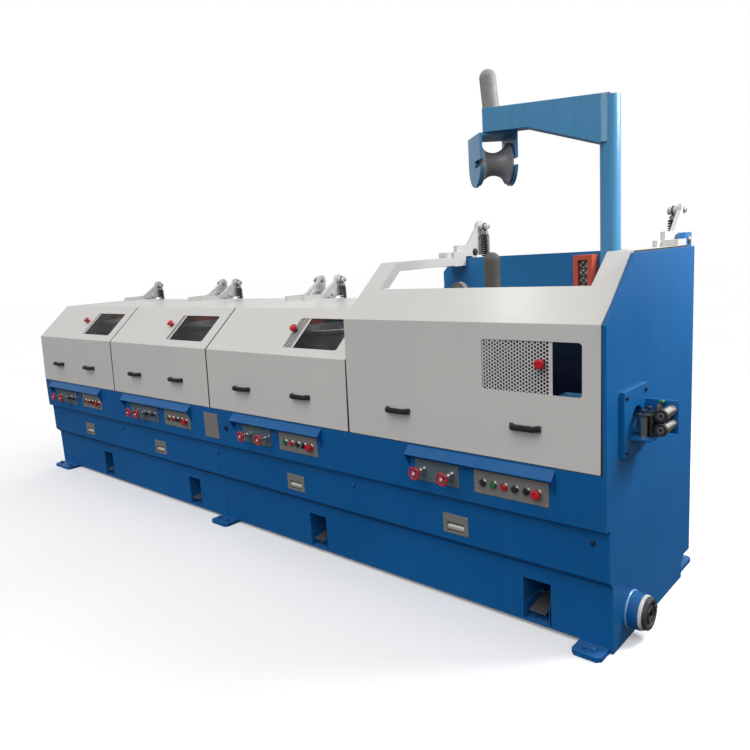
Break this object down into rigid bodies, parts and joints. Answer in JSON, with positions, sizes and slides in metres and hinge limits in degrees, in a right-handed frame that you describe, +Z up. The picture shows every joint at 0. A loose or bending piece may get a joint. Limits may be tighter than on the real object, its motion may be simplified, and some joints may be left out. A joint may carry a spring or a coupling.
{
  "type": "straight-line wire drawing machine",
  "caption": "Long floor-standing wire drawing machine: a stepped bed carrying drawing blocks under lift-up hoods, with operator panels, foot pedals and a slewing pulley jib.",
  "frame": {"origin": "on the floor, at the centre of the outer rectangle of foundation-bolt holes", "axes": "+X along the row towards the wire outlet, +Y from the operator's side to the back, +Z up"},
  "size_m": [4.7, 1.147, 2.2626],
  "materials": {
    "blue_front": "gloss machine enamel over filler, slightly darker front",
    "blue_end": "gloss machine enamel",
    "jib_blue": "gloss enamel over welded tube, weld beads showing",
    "hood_cream": "satin warm grey powder coat",
    "dark_iron": "machined grey iron",
    "block_steel": "ground and hard-faced steel",
    "post_grey": "matt grey rubber-covered post",
    "sheave_steel": "turned steel with a light rim",
    "orange_paint": "satin orange enamel",
    "green_plate": "grey-green coated plate",
    "stainless": "brushed stainless sheet",
    "fitting_chrome": "bright plated fittings",
    "red_enamel": "gloss red",
    "switch_plastic": "moulded switches in black, green and red",
    "black_iron": "black malleable iron plug",
    "pulley_grey": "dark grey glazed wire pulley",
    "roller_chrome": "hard-chromed guide rollers",
    "grip_black": "black moulded bridge handles and a red knob",
    "smoked_pane": "smoked clear sheet",
    "spring_steel": "blackened spring wire",
    "pedal_grey": "worn ribbed pedal plate"
  },
  "bodies": {
    "frame": {"bed_left": "blue_front", "bed_right": "blue_front", "foot_plates": "blue_front", "end_plate_left": "blue_end", "end_plate_right": "blue_end", "rear_wall": "blue_end", "hinge_lugs": "blue_end", "jib_socket": "blue_end", "panel_canopies": "blue_front", "guide_box": "blue_end", "pipe_stub": "blue_front", "die_boxes": "orange_paint", "junction_box": "orange_paint", "valve_plates": "green_plate", "switch_plates": "stainless", "flush_pulls": "stainless", "valve_fittings": "fitting_chrome", "handwheels": "red_enamel", "switches": "switch_plastic", "pipe_plug": "black_iron", "hood_springs_1": "spring_steel", "hood_springs_2": "spring_steel", "hood_springs_3": "spring_steel", "hood_springs_4": "spring_steel", "block_bases": "dark_iron", "pedal_guards": "blue_front"},
    "hood_1": {"hood_1": "hood_cream", "hood_levers_1": "hood_cream", "hood_grips_1": "grip_black", "hood_screen_1": "smoked_pane"},
    "block_1": {"block_1": "block_steel"},
    "pedal_1": {"pedal_1": "pedal_grey"},
    "hood_2": {"hood_2": "hood_cream", "hood_levers_2": "hood_cream", "hood_grips_2": "grip_black", "hood_screen_2": "smoked_pane"},
    "block_2": {"block_2": "block_steel"},
    "pedal_2": {"pedal_2": "pedal_grey"},
    "hood_3": {"hood_3": "hood_cream", "hood_levers_3": "hood_cream", "hood_grips_3": "grip_black", "hood_screen_3": "smoked_pane"},
    "block_3": {"block_3": "block_steel"},
    "pedal_3": {"pedal_3": "pedal_grey"},
    "hood_4": {"hood_4": "hood_cream", "hood_levers_4": "hood_cream", "hood_grips_4": "grip_black", "hood_screen_4": "hood_cream"},
    "block_4": {"block_4": "block_steel", "block_post": "post_grey", "block_sheave": "sheave_steel"},
    "pedal_4": {"pedal_4": "pedal_grey"},
    "jib": {"jib_mast": "jib_blue", "jib_post": "post_grey", "pulley_yoke": "jib_blue"},
    "pulley": {"pulley": "pulley_grey"},
    "guide_roller_front": {"guide_roller_front": "roller_chrome"},
    "guide_roller_rear": {"guide_roller_rear": "roller_chrome"},
    "guide_roller_lower": {"guide_roller_lower": "roller_chrome"},
    "guide_roller_upper": {"guide_roller_upper": "roller_chrome"}
  },
  "joints": [
    {"name": "hood_1_lift", "type": "hinge", "parent": "frame", "child": "hood_1", "pos_m": [-1.729, 0.49175, 1.271], "axis": [-1, 0, 0], "range_deg": [0, 50], "deforming": ["hood_springs_1"]},
    {"name": "hood_2_lift", "type": "hinge", "parent": "frame", "child": "hood_2", "pos_m": [-0.619, 0.49175, 1.271], "axis": [-1, 0, 0], "range_deg": [0, 50], "deforming": ["hood_springs_2"]},
    {"name": "hood_3_lift", "type": "hinge", "parent": "frame", "child": "hood_3", "pos_m": [0.491, 0.49175, 1.271], "axis": [-1, 0, 0], "range_deg": [0, 50], "deforming": ["hood_springs_3"]},
    {"name": "hood_4_lift", "type": "hinge", "parent": "frame", "child": "hood_4", "pos_m": [1.665, 0.49175, 1.486], "axis": [-1, 0, 0], "range_deg": [0, 50], "deforming": ["hood_springs_4"]},
    {"name": "block_1_spin", "type": "hinge", "parent": "frame", "child": "block_1", "pos_m": [-1.726, -0.02625, 0.95], "axis": [0, 0, 1], "continuous": true},
    {"name": "block_2_spin", "type": "hinge", "parent": "frame", "child": "block_2", "pos_m": [-0.616, -0.02625, 0.95], "axis": [0, 0, 1], "continuous": true},
    {"name": "block_3_spin", "type": "hinge", "parent": "frame", "child": "block_3", "pos_m": [0.494, -0.02625, 0.95], "axis": [0, 0, 1], "continuous": true},
    {"name": "block_4_spin", "type": "hinge", "parent": "frame", "child": "block_4", "pos_m": [1.568, -0.02625, 0.95], "axis": [0, 0, 1], "continuous": true},
    {"name": "jib_slew", "type": "hinge", "parent": "frame", "child": "jib", "pos_m": [2.004, 0.22375, 1.5], "axis": [0, 0, -1], "range_deg": [-25, 60]},
    {"name": "pulley_spin", "type": "hinge", "parent": "jib", "child": "pulley", "pos_m": [1.51142, 0.10089, 1.874], "axis": [0.6691, 0.7431, 0], "continuous": true},
    {"name": "guide_front_spin", "type": "hinge", "parent": "frame", "child": "guide_roller_front", "pos_m": [2.332, -0.26725, 0.86], "axis": [0, 0, 1], "continuous": true},
    {"name": "guide_rear_spin", "type": "hinge", "parent": "frame", "child": "guide_roller_rear", "pos_m": [2.332, -0.21525, 0.86], "axis": [0, 0, 1], "continuous": true},
    {"name": "guide_lower_spin", "type": "hinge", "parent": "frame", "child": "guide_roller_lower", "pos_m": [2.392, -0.21625, 0.834], "axis": [0, 1, 0], "continuous": true},
    {"name": "guide_upper_spin", "type": "hinge", "parent": "frame", "child": "guide_roller_upper", "pos_m": [2.392, -0.21625, 0.886], "axis": [0, 1, 0], "continuous": true},
    {"name": "pedal_1_press", "type": "hinge", "parent": "frame", "child": "pedal_1", "pos_m": [-1.51, -0.28775, 0.087], "axis": [1, 0, 0], "range_deg": [0, 8], "stiffness_Nm_per_rad": 20, "springref_deg": -17.19},
    {"name": "pedal_2_press", "type": "hinge", "parent": "frame", "child": "pedal_2", "pos_m": [-0.4, -0.28775, 0.087], "axis": [1, 0, 0], "range_deg": [0, 8], "stiffness_Nm_per_rad": 20, "springref_deg": -17.19},
    {"name": "pedal_3_press", "type": "hinge", "parent": "frame", "child": "pedal_3", "pos_m": [0.721, -0.28775, 0.087], "axis": [1, 0, 0], "range_deg": [0, 8], "stiffness_Nm_per_rad": 20, "springref_deg": -17.19},
    {"name": "pedal_4_press", "type": "hinge", "parent": "frame", "child": "pedal_4", "pos_m": [1.974, -0.28775, 0.087], "axis": [1, 0, 0], "range_deg": [0, 8], "stiffness_Nm_per_rad": 20, "springref_deg": -17.19}
  ]
}
